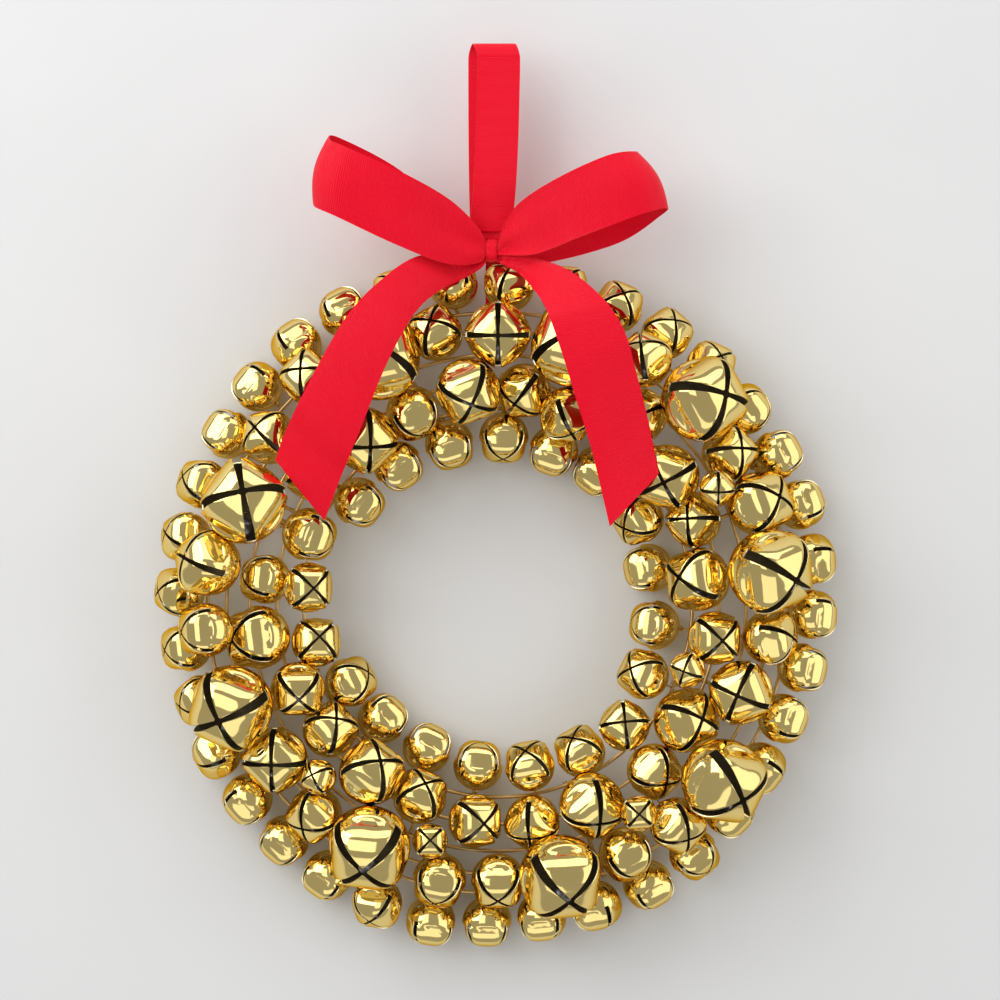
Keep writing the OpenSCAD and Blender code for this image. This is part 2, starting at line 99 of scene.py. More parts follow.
def colour(name, default, description):
    """A colour, in linear values."""
    return bpy.props.FloatVectorProperty(
        name=name, default=default, description=description, size=3, min=0.0, max=1.0, subtype="COLOR")


class BellSettings(bpy.types.PropertyGroup):
    """Sizes and colours of the bells."""

    large_d: length("Large bell", 42 * MM, "Diameter of a large bell across its slot ends")
    medium_d: length("Medium bell", 32.5 * MM, "Diameter of a medium bell")
    middle_d: length("Middle bell", 27.5 * MM, "Diameter of a middle bell")
    small_d: length("Small bell", 25.5 * MM, "Diameter of a bell in the outer or inner row")
    tiny_d: length("Tiny bell", 18 * MM, "Diameter of a tiny bell")
    sheet: length("Sheet", 0.7 * MM, "Thickness of the stamped sheet")
    edge: length("Edge", 0.2 * MM, "Width of the rounded edge along a slot")
    gold: colour("Gold", (0.91, 0.71, 0.27), "Colour of the polished plating")
    rim: colour("Rim", (0.90, 0.55, 0.12), "Tint of the plating where it is seen at a slant")
    # Inside: a darkened colour, painted shade in the bell's hollow.
    inside: colour("Inside", (0.22, 0.17, 0.09), "Colour of the unpolished inside")
    # Cut edge: paler than the gold, a painted highlight along the slots' edges.
    cut_edge_with_painted_highlight: colour("Cut edge", (0.95, 0.83, 0.50), "Colour of the bright cut edge along a slot")


class WireSettings(bpy.types.PropertyGroup):
    """Finishes of the wire frame and the pellets."""

    brass: colour("Brass", (0.62, 0.44, 0.20), "Colour of the frame and tie wires")
    steel: colour("Steel", (0.45, 0.44, 0.43), "Colour of the pellets")


class RibbonSettings(bpy.types.PropertyGroup):
    """Weave and colour of the ribbon."""

    rib_pitch: length("Rib pitch", 1.1 * MM, "Distance between two cross ribs")
    rib_height: length("Rib height", 0.2 * MM, "Height of a cross rib")
    thread_pitch: length("Thread pitch", 0.35 * MM, "Distance between two threads along the ribbon")
    thickness: length("Thickness", 0.45 * MM, "Thickness of the ribbon")
    selvedge: length("Selvedge", 1.3 * MM, "Width of the woven edge")
    red: colour("Red", (0.93, 0.0, 0.022), "Colour of the ribbon")
    sheen: colour("Sheen", (1.0, 0.36, 0.32), "Tint of the ribbon's silky sheen")


class StageSettings(bpy.types.PropertyGroup):
    """Camera, backdrop and light."""

    wall_gap: length("Wall gap", 2 * MM, "Distance from the back of the wreath to the wall")
    camera_far: length("Camera distance", 2.4, "Distance from the plane of the rings to the camera")
    view_size: length("View size", 520 * MM, "Width of the view at the plane of the rings")
    view_across: length("View across", 1 * MM, "Distance of the camera to the right of the rings' centre")
    view_up: length("View up", 53.5 * MM, "Height of the camera above the rings' centre")
    wall_size: length("Wall size", 6.0, "Width and height of the backdrop")
    wall: colour("Wall", (0.79, 0.79, 0.79), "Colour of the backdrop")
    room: colour("Room", (0.38, 0.38, 0.38), "Colour of the room, which lights the shadows")


SETTINGS = {
    "wreath_bells": BellSettings,
    "wreath_wires": WireSettings,
    "wreath_ribbon": RibbonSettings,
    "wreath_stage": StageSettings,
}


# Tools for modelling

def only(piece):
    """Selects one piece and nothing else."""
    bpy.ops.object.select_all(action="DESELECT")
    piece.select_set(True)
    bpy.context.view_layer.objects.active = piece


def pick_faces(piece, wanted):
    """Goes into edit mode with only the wanted faces selected."""
    only(piece)
    mesh = piece.data
    bpy.context.tool_settings.mesh_select_mode = (False, False, True)
    mesh.vertices.foreach_set("select", [False] * len(mesh.vertices))
    mesh.edges.foreach_set("select", [False] * len(mesh.edges))
    mesh.polygons.foreach_set("select", wanted)
    bpy.ops.object.mode_set(mode="EDIT")


def modified(piece, kind, **settings):
    """Adds a modifier to a piece and applies it."""
    only(piece)
    modifier = piece.modifiers.new(kind.title(), kind)
    for key, value in settings.items():
        setattr(modifier, key, value)
    bpy.ops.object.modifier_apply(modifier=modifier.name)


def smooth(piece, degrees):
    """Shades a piece smooth, apart from its sharp edges."""
    only(piece)
    bpy.ops.object.shade_smooth_by_angle(angle=math.radians(degrees))


def joined(pieces, name):
    """Joins pieces into one mesh under one name."""
    only(pieces[0])
    for piece in pieces[1:]:
        piece.select_set(True)
    bpy.ops.object.join()
    whole = bpy.context.object
    whole.name = name
    whole.data.name = name
    return whole


def copy_at(pattern, matrix):
    """A copy of a pattern with its own mesh, whose place is in the mesh."""
    mesh = pattern.data.copy()
    mesh.transform(matrix)
    copy = bpy.data.objects.new(pattern.name, mesh)
    bpy.context.scene.collection.objects.link(copy)
    return copy


def removed(piece):
    """Deletes a piece and its mesh."""
    mesh = piece.data
    bpy.data.objects.remove(piece)
    bpy.data.meshes.remove(mesh)


def stands_for(piece, body, node):
    """Says which body a piece moves with and which node it replaces."""
    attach(piece, body)
    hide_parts(node)


def eased(share):
    """Goes smoothly from 0 to 1."""
    share = min(1.0, max(0.0, share))
    return share * share * (3 - 2 * share)


def between(a, b, share):
    """A value or point part of the way from a to b."""
    return a + (b - a) * share


# Materials

class Signal:
    """A socket of a material, so that shader maths reads as plain expressions."""

    def __init__(self, finish, socket):
        self.finish = finish
        self.socket = socket

    def maths(self, operation, first, second):
        return self.finish.node("ShaderNodeMath", {"operation": operation}, {0: first, 1: second})

    def __add__(self, other):
        return self.maths("ADD", self, other)

    def __radd__(self, other):
        return self.maths("ADD", other, self)

    def __mul__(self, other):
        return self.maths("MULTIPLY", self, other)

    def __rmul__(self, other):
        return self.maths("MULTIPLY", other, self)


class Finish:
    """A material made of nodes."""

    def __init__(self, name):
        self.material = bpy.data.materials.new(name)
        self.material.use_nodes = True
        self.tree = self.material.node_tree
        self.tree.nodes.clear()

    def node(self, kind, settings=None, inputs=None, output=0):
        """Adds a node, sets it up, fills its sockets with values or links, and gives one of its outputs."""
        made = self.tree.nodes.new(kind)
        for key, value in (settings or {}).items():
            setattr(made, key, value)
        for key, value in (inputs or {}).items():
            if isinstance(value, Signal):
                self.tree.links.new(value.socket, made.inputs[key])
            else:
                made.inputs[key].default_value = value
        return Signal(self, made.outputs[output]) if made.outputs else None

    def noise(self, scale, detail):
        """Noise in the piece's own frame, with so many waves to the metre."""
        where = self.node("ShaderNodeTexCoord", output="Object")
        return self.node("ShaderNodeTexNoise", None, {"Vector": where, "Scale": scale, "Detail": detail})

    def wave(self, axis, pitch):
        """A sine wave along the first or second axis of the UV map, which is in metres."""
        where = self.node("ShaderNodeTexCoord", output="UV")
        run = self.node("ShaderNodeSeparateXYZ", None, {"Vector": where}, axis)
        return self.node("ShaderNodeMath", {"operation": "SINE"}, {0: run * (FULL_TURN / pitch)})

    def mix(self, factor, first, second):
        """A colour part of the way from the first to the second."""
        inputs = {0: factor, 6: rgba(first), 7: rgba(second)}
        return self.node("ShaderNodeMix", {"data_type": "RGBA"}, inputs, 2)

    def tinted(self, tone, shade, darkest, lightest=1.0):
        """A colour that a tone takes from a darker to a lighter kind of one shade."""
        return self.mix(tone, scaled(shade, darkest), scaled(shade, lightest))

    def bump(self, height, distance, strength):
        inputs = {"Height": height, "Distance": distance, "Strength": strength}
        return self.node("ShaderNodeBump", None, inputs)

    def shade(self, **sockets):
        """Ends the material in a principled shader."""
        names = {key.replace("_", " ").title(): value for key, value in sockets.items()}
        names = {key.replace("Ior", "IOR"): value for key, value in names.items()}
        shader = self.node("ShaderNodeBsdfPrincipled", None, names)
        self.node("ShaderNodeOutputMaterial", None, {"Surface": shader})
        return self.material


def rgba(shade):
    """A colour with its alpha."""
    return (*tuple(shade)[:3], 1.0)


def scaled(shade, factor):
    """A darker or lighter kind of a colour."""
    return [min(1.0, part * factor) for part in shade]


FINISHES = {}


def finish(make):
    """Makes a material once, and hands out the same one afterwards."""
    def once():
        if make.__name__ not in FINISHES:
            FINISHES[make.__name__] = make(Finish(make.__name__))
        return FINISHES[make.__name__]
    return once


@finish
def polished_gold(it):
    """Bright plating with faint hand marks and a slight wobble in its reflections."""
    bells = bpy.context.scene.wreath_bells
    smudge = it.noise(scale=70.0, detail=3.0)
    wobble = it.noise(scale=110.0, detail=1.0)
    return it.shade(
        base_color=it.tinted(smudge, bells.gold, darkest=0.95, lightest=1.04),
        metallic=1.0,
        roughness=0.06 + 0.06 * smudge,
        specular_tint=rgba(bells.rim),
        normal=it.bump(wobble, distance=0.2 * MM, strength=0.5))


@finish
def bell_inside_with_painted_shade(it):
    """Dull, unpolished metal inside a bell, its colour darkened as painted shade in the hollow."""
    tone = it.noise(scale=300.0, detail=3.0)
    tint = it.tinted(tone, bpy.context.scene.wreath_bells.inside, darkest=0.6, lightest=1.5)
    return it.shade(base_color=tint, metallic=0.6, roughness=0.45 + 0.2 * tone)


@finish
def cut_edge_with_painted_highlight(it):
    """The edge where the sheet was cut, coloured pale and bright as a painted highlight."""
    tone = it.noise(scale=900.0, detail=1.0)
    tint = it.tinted(tone, bpy.context.scene.wreath_bells.cut_edge_with_painted_highlight, darkest=0.9)
    return it.shade(base_color=tint, metallic=1.0, roughness=0.2 + 0.1 * tone)


@finish
def brass_wire(it):
    """Drawn wire with a dull, slightly uneven skin."""
    tone = it.noise(scale=220.0, detail=4.0)
    return it.shade(
        base_color=it.tinted(tone, bpy.context.scene.wreath_wires.brass, darkest=0.75, lightest=1.2),
        metallic=1.0,
        roughness=0.22 + 0.2 * tone,
        normal=it.bump(tone, distance=0.1 * MM, strength=0.4))


@finish
def steel_pellet(it):
    """A tumbled steel ball."""
    tone = it.noise(scale=500.0, detail=3.0)
    tint = it.tinted(tone, bpy.context.scene.wreath_wires.steel, darkest=0.7)
    return it.shade(base_color=tint, metallic=1.0, roughness=0.3 + 0.2 * tone)


@finish
def red_grosgrain(it):
    """Woven ribbon: ribs along it, fine threads across them and a silky sheen."""
    ribbon = bpy.context.scene.wreath_ribbon
    rib = it.wave(axis=1, pitch=ribbon.rib_pitch)
    thread = it.wave(axis=0, pitch=ribbon.thread_pitch)
    blotch = it.noise(scale=60.0, detail=2.0)
    return it.shade(
        # The rib wave darkens the red between the ribs and lightens it on them, as painted shade and highlight;
        # the blotches are random tone.
        base_color=it.tinted(0.55 + 0.25 * rib + 0.2 * blotch, ribbon.red, darkest=0.72),
        roughness=0.28 + 0.06 * thread,
        specular_ior_level=0.16,
        sheen_weight=0.7,
        sheen_roughness=0.35,
        sheen_tint=rgba(ribbon.sheen),
        normal=it.bump(thread, distance=0.04 * MM, strength=0.5))


# The bells

# Shares of a bell's radius
FOLD = 0.91        # distance of a petal's fold from the axis
FRONT = 0.99       # height of the petals
DOME = 1.02        # radius of the round back
RIM = 1.01         # radius of the round back where it meets the petals
RIM_REACH = 0.015  # how much further the rim reaches at the ends of the slots
CROWN = 0.95       # distance from a bell's middle to its crown

SQUARENESS = 4.2   # how square the outline of the four petals is
FLATNESS = 2.6     # how flat the petals are in front
TIP_ROUND = 0.55   # radius of a petal's tip, as a share of the slot's width
SLOT_TAPER = 1.2   # how late a slot widens on its way out
DOME_EVEN = 1.6    # how soon the dome's columns become even
SHANK_BEHIND = 1.5 * MM  # from the crown to the middle of the shank's loop
BEVEL_ANGLE = 55   # degrees past which an edge is rounded
BELL_SMOOTH = 50   # degrees up to which a bell is shaded smooth

# Rows of vertices from the petals' tips to the fold, across the ledge behind it and down the dome
FOLD_ROW = 0.998
PETAL_ROWS = (0.24, 0.34, 0.45, 0.56, 0.67, 0.77, 0.85, 0.91, 0.955, 0.982, FOLD_ROW)
TIP_ROWS = (0.995, 0.9, 0.66, 0.2)
ROW_GAP = 1.1      # least step from the last tip row to the first petal row
LEDGE_ROWS = (0.4, 0.8)
DOME_ROWS = 8


class BellForm:
    """The form of one size of bell in its own frame, with the crossed slots facing +Z."""

    def __init__(self, diameter, slot, slot_end, columns):
        self.radius = diameter / 2
        self.slot = slot
        self.slot_end = slot_end
        self.columns = columns
        self.per_quarter = columns + 2
        self.tip_round = TIP_ROUND * slot
        self.tip_far = slot / math.sqrt(2) + self.tip_round * math.sqrt(2)
        fold = FOLD * self.radius
        tips = [(self.tip_far - share * self.tip_round) / fold for share in TIP_ROWS]
        self.rows = tips + [row for row in PETAL_ROWS if row > tips[-1] * ROW_GAP]
        self.rim_row = len(self.rows) + len(LEDGE_ROWS)
        self.row_count = self.rim_row + DOME_ROWS

    def outline(self, angle):
        """Distance of the petals' outline from the axis at an angle from a slot, as a share of the radius."""
        turn = angle - EIGHTH_TURN
        square = abs(math.cos(turn)) ** SQUARENESS + abs(math.sin(turn)) ** SQUARENESS
        return FOLD * square ** (-1 / SQUARENESS)

    def rim(self, angle):
        """Distance of the dome's rim from the axis. It reaches out a little to the ends of the slots."""
        return RIM + RIM_REACH * math.cos(2 * angle) ** 2

    def edge_angle(self, row):
        """Angle from a slot's middle to the petal's edge, along a row of the petals."""
        near = row * FOLD * self.radius
        if near < self.tip_far:
            cosine = (near ** 2 + self.tip_far ** 2 - self.tip_round ** 2) / (2 * near * self.tip_far)
            return EIGHTH_TURN - math.acos(min(1.0, cosine))
        angle = 0.1
        for _ in range(6):
            far = row * self.outline(angle) * self.radius
            angle = math.asin(min(0.7, self.slot_width(far) / 2 / far))
        return angle

    def slot_width(self, far):
        """Width of a slot at a distance from the axis."""
        return between(self.slot, self.slot_end, min(1.0, far / self.radius) ** SLOT_TAPER)

    def column_angle(self, column, edge, even=0.0):
        """Angle of a column in its quarter: the slot's middle, its edge, then evenly over the petal."""
        petal = edge + (RIGHT_ANGLE - 2 * edge) * (column - 1) / self.columns
        shaped = 0.0 if column == 0 else petal
        return between(shaped, RIGHT_ANGLE * column / self.per_quarter, even)

    def petal_point(self, row, angle):
        """Distance from the axis and height of a point of a petal, as shares of the radius."""
        height = FRONT * max(0.0, 1 - row ** FLATNESS) ** (1 / FLATNESS)
        return row * self.outline(angle), height

    def point(self, row, column):
        """Where a vertex of the starting ball goes."""
        quarter, column = divmod(column, self.per_quarter)
        if row < len(self.rows):
            angle = self.column_angle(column, self.edge_angle(self.rows[row]))
            far, height = self.petal_point(self.rows[row], angle)
        elif row < self.rim_row:
            share = LEDGE_ROWS[row - len(self.rows)]
            angle = self.column_angle(column, self.edge_angle(FOLD_ROW))
            far, height = self.petal_point(FOLD_ROW, angle)
            far = between(far, self.rim(angle), share)
            height = between(height, 0.0, share ** 2)
        else:
            down = (row - self.rim_row) / DOME_ROWS
            even = eased(down * DOME_EVEN)
            angle = self.column_angle(column, self.edge_angle(FOLD_ROW), even)
            far = between(self.rim(angle), DOME, even) * math.cos(down * RIGHT_ANGLE)
            height = -DOME * math.sin(down * RIGHT_ANGLE)
        angle += quarter * RIGHT_ANGLE
        return self.radius * Vector((far * math.cos(angle), far * math.sin(angle), height))


def bell_pattern(name, form):
    """Models one bell: a ball, shaped into petals and a dome, slotted, thickened and rounded at its edges."""
    bells = bpy.context.scene.wreath_bells
    segments = 4 * form.per_quarter
    rings = form.row_count + 1
    bpy.ops.object.select_all(action="DESELECT")
    bpy.ops.mesh.primitive_uv_sphere_add(segments=segments, ring_count=rings, radius=1.0)
    bell = bpy.context.object
    bell.name = name
    mesh = bell.data
    place = {}
    for vertex in mesh.vertices:
        turn = math.atan2(vertex.co.y, vertex.co.x) % FULL_TURN
        row = round(math.acos(max(-1.0, min(1.0, vertex.co.z))) / math.pi * rings) - 1
        place[vertex.index] = (row, round(turn / FULL_TURN * segments) % segments)
    cut = []
    for face in mesh.polygons:
        rows = [place[v][0] for v in face.vertices]
        in_slot = any(place[v][1] % form.per_quarter == 0 for v in face.vertices)
        cut.append(min(rows) < 0 or (in_slot and max(rows) <= form.rim_row))
    for vertex in mesh.vertices:
        row, column = place[vertex.index]
        if row < 0:
            continue
        last = row == form.row_count
        vertex.co = Vector((0, 0, -DOME * form.radius)) if last else form.point(row, column)
    pick_faces(bell, cut)
    bpy.ops.mesh.delete(type="FACE")
    bpy.ops.mesh.select_all(action="SELECT")
    bpy.ops.mesh.delete_loose()
    bpy.ops.mesh.select_all(action="SELECT")
    bpy.ops.mesh.normals_make_consistent(inside=False)
    bpy.ops.object.mode_set(mode="OBJECT")
    for make in (polished_gold, bell_inside_with_painted_shade, cut_edge_with_painted_highlight):
        mesh.materials.append(make())
    # The inner faces take the inside's material, whose dark colour is painted shade.
    # The rim faces take the cut edge's material, whose pale colour is a painted highlight.
    modified(bell, "SOLIDIFY", thickness=bells.sheet, offset=-1.0, material_offset=1, material_offset_rim=2)
    modified(bell, "BEVEL", width=bells.edge, segments=2, limit_method="ANGLE",
             angle_limit=math.radians(BEVEL_ANGLE))
    smooth(bell, BELL_SMOOTH)
    return bell


def solids(node):
    """The separate solids of a node: each one's area centre and its flattest direction."""
    shape = bmesh.new()
    shape.from_mesh(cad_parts[node].data)
    bmesh.ops.remove_doubles(shape, verts=shape.verts, dist=0.001 * MM)
    found = []
    for start in shape.faces:
        if start.tag:
            continue
        start.tag = True
        waiting = [start]
        middles = []
        areas = []
        while waiting:
            face = waiting.pop()
            middles.append(face.calc_center_median())
            areas.append(face.calc_area())
            for edge in face.edges:
                for other in edge.link_faces:
                    if not other.tag:
                        other.tag = True
                        waiting.append(other)
        middles = np.array(middles)
        areas = np.array(areas)[:, None]
        centre = (middles * areas).sum(0) / areas.sum()
        spread = ((middles - centre) * areas).T @ (middles - centre)
        found.append((Vector(centre), Vector(np.linalg.eigh(spread)[1][:, 0])))
    shape.free()
    return found


def behind(radius):
    """Distance from a bell's middle back to the middle of its shank."""
    return CROWN * radius + SHANK_BEHIND


def shell_offset():
    """How far a shell's area centre lies from the bell's middle, as a share of its radius.

    It comes from one large bell, whose shell and shank have nodes of their own.
    """
    radius = bpy.context.scene.wreath_bells.large_d / 2
    shell = solids("large_bell_1")[0][0]
    shank = solids("large_shank_1")[0][0]
    return ((shell - shank).length - behind(radius)) / radius


def bell_places(bell_node, shank_node, radius):
    """Finds where each bell of a node sits and faces, from its shell and the shank behind it."""
    shanks = solids(shank_node)
    usual = behind(radius) + shell_offset() * radius
    places = []
    for shell, _ in solids(bell_node):
        def misfit(shank):
            way = shell - shank[0]
            return abs(way.length - usual) / radius + abs(way.normalized().dot(shank[1]))
        shank, sideways = min(shanks, key=misfit)
        axis = (shell - shank).normalized()
        side = sideways.cross(axis).normalized()
        turn = Matrix((side, axis.cross(side), axis)).transposed().to_4x4()
        places.append(Matrix.Translation(shank + axis * behind(radius)) @ turn)
    return places


LARGE_BELLS = 9


def bell_sizes():
    """Each size of bell: its form and the groups of bells that have it."""
    bells = bpy.context.scene.wreath_bells
    forms = {
        "large": BellForm(bells.large_d, slot=2.4 * MM, slot_end=5.2 * MM, columns=14),
        "medium": BellForm(bells.medium_d, slot=1.6 * MM, slot_end=3.4 * MM, columns=12),
        "middle": BellForm(bells.middle_d, slot=1.3 * MM, slot_end=2.9 * MM, columns=10),
        "small": BellForm(bells.small_d, slot=1.1 * MM, slot_end=2.5 * MM, columns=8),
        "tiny": BellForm(bells.tiny_d, slot=0.9 * MM, slot_end=2.1 * MM, columns=8),
    }
    groups = {size: [(size + "_bells", size + "_shanks")] for size in ("medium", "middle", "tiny")}
    groups["large"] = [("large_bell_%d" % i, "large_shank_%d" % i) for i in range(1, LARGE_BELLS + 1)]
    groups["small"] = [("outer_bells", "outer_shanks"), ("inner_bells", "inner_shanks")]
    return {size: (form, groups[size]) for size, form in forms.items()}


# The ribbon. Edges are lists of points in mm.

def along_curve(points, steps):
    """A smooth curve through points, with steps between each two."""
    last = len(points) - 1
    curve = []
    for i in range(last):
        a, b = points[max(0, i - 1)], points[i]
        c, d = points[i + 1], points[min(last, i + 2)]
        for step in range(steps):
            t = step / steps
            curve.append(0.5 * (2 * b + t * (c - a) + t * t * (2 * a - 5 * b + 4 * c - d)
                                + t ** 3 * (3 * b - a - 3 * c + d)))
    curve.append(points[last])
    return curve


def evenly(first, second, pitch):
    """Resamples two edges of a ribbon together, at even steps along the ribbon's middle."""
    middles = [(a + b) / 2 for a, b in zip(first, second)]
    run = [0.0]
    for a, b in zip(middles, middles[1:]):
        run.append(run[-1] + (b - a).length)
    count = max(2, round(run[-1] / pitch))
    places = np.linspace(0, run[-1], count + 1)
    edges = []
    for edge in (first, second):
        table = np.array(edge)
        edges.append(np.stack([np.interp(places, run, table[:, k]) for k in range(3)], 1))
    return edges[0], edges[1], run[-1]


STRIP_COLUMNS = 18
ROWS_PER_RIB = 4
CURVE_STEPS = 24      # points of a ribbon's edge between each two given points
SELVEDGE_RIB = 0.35   # height of a rib at the very edge, as a share of its full height
RIBBON_SMOOTH = 60    # degrees up to which a ribbon is shaded smooth


def ribbon_strip(name, first, second, gather=None):
    """gather(share, u) is how far the ribbon stands off at a share of its length and of its width, for pleats and
    cupping.
    """
    ribbon = bpy.context.scene.wreath_ribbon
    pitch = ribbon.rib_pitch / ROWS_PER_RIB
    a, b, long = evenly(along_curve(first, CURVE_STEPS), along_curve(second, CURVE_STEPS), pitch)
    rows = len(a) - 1
    bpy.ops.object.select_all(action="DESELECT")
    bpy.ops.mesh.primitive_grid_add(
        x_subdivisions=STRIP_COLUMNS, y_subdivisions=rows, size=2.0, calc_uvs=True)
    strip = bpy.context.object
    strip.name = name + "_ribbon"
    mesh = strip.data
    mesh.name = strip.name
    along = np.gradient((a + b) / 2, axis=0)
    width = np.linalg.norm(b - a, axis=1)
    across = (b - a) / width[:, None]
    out = np.cross(along, across)
    out /= np.linalg.norm(out, axis=1)[:, None]
    for vertex in mesh.vertices:
        u = (vertex.co.x + 1) / 2
        i = round((vertex.co.y + 1) / 2 * rows)
        inside = min(u, 1 - u) * width[i]
        rib = 0.5 + 0.5 * math.cos(FULL_TURN * i / ROWS_PER_RIB)
        lift = ribbon.rib_height * rib * between(SELVEDGE_RIB, 1.0, eased(inside / ribbon.selvedge))
        if gather:
            lift += gather(i / rows, u)
        vertex.co = Vector(a[i] + (b[i] - a[i]) * u + out[i] * lift)
    wide = float(width.max())
    for loop in mesh.uv_layers.active.data:
        loop.uv = (loop.uv[0] * wide, loop.uv[1] * long)
    mesh.materials.append(red_grosgrain())
    modified(strip, "SOLIDIFY", thickness=ribbon.thickness, offset=0.0)
    smooth(strip, RIBBON_SMOOTH)
    return strip


def from_centre(across, depth, up):
    """A point given in mm from the wreath's centre."""
    return CENTRE + Vector((across, depth, up)) * MM


def from_knot(across, depth, up):
    """A point given in mm, across from the wreath's centre, and forward and up from the knot."""
    return Vector((across * MM, KNOT.y + depth * MM, KNOT.z + up * MM))


# Edges of the bow's loops and tails, across from the wreath's centre and up from the knot. A loop goes from the
# knot round its far end and back, at these depths from the knot.
LOOP_DEPTH = (-2.3, -2.3, -5, -12, -22, -25, -17, -8, 0, 1.6, 2, 2.3, 2.3)
LEFT_LOOP = (
    ((-4.2, 1.5), (-6.1, 2), (-10, 11), (-24, 25), (-47, 38), (-76, 51), (-86, 56),
     (-82, 58), (-51, 42), (-22, 16), (-11, 6), (-6.1, 2), (-4.2, 1.5)),
    ((-4.2, -1.5), (-6.1, -2), (-10.5, -6.5), (-27, -7), (-52, 2), (-82, 16), (-94, 22),
     (-89, 24), (-57, 9), (-24, -6), (-11, -3.5), (-6.1, -2), (-4.2, -1.5)),
)
RIGHT_LOOP = (
    ((-2.6, 1.5), (-0.7, 2), (2.5, 13), (12, 25), (32, 37), (56, 47.5), (70, 50),
     (68, 48), (46, 32), (14, 12), (4, 5), (-0.7, 2), (-2.6, 1.5)),
    ((-2.6, -1.5), (-0.7, -2), (5, -2.5), (20, -2), (42, 6), (72, 17), (86, 21),
     (84, 18), (62, 4), (24, -6), (4.5, -3.5), (-0.7, -2), (-2.6, -1.5)),
)
LEFT_TAIL = (
    ((-6.2, -2.6), (-12, -3), (-22, -3), (-40, -3), (-57, -14), (-77, -35), (-95, -66),
     (-108, -92), (-114, -108)),
    ((-6.2, -5.4), (-9, -9), (-17, -14), (-30, -21), (-43, -34), (-57, -60), (-70, -92),
     (-80, -116), (-89, -139)),
)
RIGHT_TAIL = (
    ((-0.6, -5.4), (4, -8), (11, -12), (17, -19), (24, -30), (32, -52), (40, -78), (48, -104), (57, -142)),
    ((-0.6, -2.6), (7, -3), (19, -4), (35, -10), (52, -24), (64, -42), (71, -66), (77, -90), (82, -115)),
)


LOOP_PLEAT = 1.5 * MM   # height of the pleats beside the knot
LOOP_BULGE = 3.5 * MM   # how far the far end of a loop is rounded out
TAIL_PLEAT = 1.0 * MM
TAIL_CUP = 0.8 * MM     # how far a tail's edges curl back
TAIL_STEPS = 12
TAIL_SKIP = 3           # only every third point of a tail's curve is kept


def bow_loop(name, edges, bulge):
    """One loop of the bow, from the front of the knot round to its back, with a rounded far end."""
    first, second = ([from_knot(x, y, z) for (x, z), y in zip(edge, LOOP_DEPTH)] for edge in edges)

    def gather(share, u):
        near = min(share, 1 - share)
        root = math.exp(-near / 0.1) * eased(near / 0.06)
        far_end = math.exp(-((share - 0.5) / 0.12) ** 2)
        pleats = LOOP_PLEAT * root * math.sin(3 * math.pi * u + 0.4)
        return pleats + bulge * math.sin(math.pi * u) * far_end

    strip = ribbon_strip(name, first, second, gather)
    stands_for(strip, "wreath", name)


def tail_depth(node, x, z):
    """How far forward a tail's solid lies at a place on the wreath."""
    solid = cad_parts[node]
    hit, where, _, _ = solid.ray_cast(Vector((x, -1.0, z)), Vector((0, 1, 0)))
    return where.y if hit else None


def tail(name, edges):
    """A tail of the bow, laid over the bells, with a slanted end."""
    curves = [along_curve([from_knot(x, 0, z) for x, z in edge], TAIL_STEPS) for edge in edges]
    depth = []
    for a, b in zip(*curves):
        middle = (a + b) / 2
        depth.append(tail_depth(name, middle.x, middle.z))
    known = [d for d in depth if d is not None]
    for i, d in enumerate(depth):
        if d is None:
            depth[i] = known[0] if i < len(depth) / 2 else known[-1]
    for curve in curves:
        for point, y in zip(curve, depth):
            point.y = y

    def gather(share, u):
        root = math.exp(-share / 0.08) * eased(share / 0.03)
        cup = (2 * u - 1) ** 2 * eased(share / 0.2)
        return TAIL_PLEAT * root * math.sin(3 * math.pi * u) - TAIL_CUP * cup

    first, second = (curve[::TAIL_SKIP] for curve in curves)
    strip = ribbon_strip(name, first, second, gather)
    stands_for(strip, name, name)


# The knot, in mm
KNOT_SIDES = (-6.0, -0.8)
KNOT_HALF = 3.5         # radius of the band
KNOT_STRETCH = 1.6      # how much taller the band is than round, above and below
KNOT_WIND = 0.012       # how far the band moves back with each point, so that its end lies on its start
KNOT_POINTS = 40        # points in one turn of the band
KNOT_LAP = 4            # points of the lap at the end
KNOT_SWELL = 0.3 * MM
KNOT_WRINKLE = 0.18 * MM


def bow_knot():
    """A short band of ribbon wrapped round the roots of the loops and tails."""
    ring = []
    for i in range(KNOT_POINTS + KNOT_LAP):
        angle = FULL_TURN * i / KNOT_POINTS
        depth = KNOT_HALF * math.cos(angle) + KNOT_WIND * i
        up = KNOT_HALF * math.sin(angle) + math.copysign(KNOT_STRETCH, math.sin(angle + 0.01))
        ring.append((depth, up))
    first, second = ([from_knot(x, y, z) for y, z in ring] for x in KNOT_SIDES)

    def gather(share, u):
        wrinkles = KNOT_WRINKLE * math.sin(5 * math.pi * u) * (0.6 + 0.4 * math.sin(9 * share))
        return KNOT_SWELL * math.sin(math.pi * u) - wrinkles

    strip = ribbon_strip("bow_knot", first, second, gather)
    stands_for(strip, "wreath", "bow_knot")


# The hanging loop, in mm. Its top is at the hook, where the frame's origin is.
LOOP_GAP = 10.6             # between its two plies
LOOP_TOP = 0.3
LOOP_LOW = -96.0
LOOP_WIDE = 22.0
FRONT_FOOT = (-1.5, -96.8)  # the front ply ends just before the root's top
# How far the ribbon's middle lies across, from the front foot over the top to the back foot
LOOP_MIDDLE = (-3.3, -3, -1.6, -0.4, 0.4, 0, -1.2, -2.2, -3.2, -4.2, -4.4, -4.3, -4, -3.6, -3.3)
LOOP_ROUND = 0.71           # where the top's curve is passed, as a share of half the gap
FOOT_PLEAT = 0.2 * MM


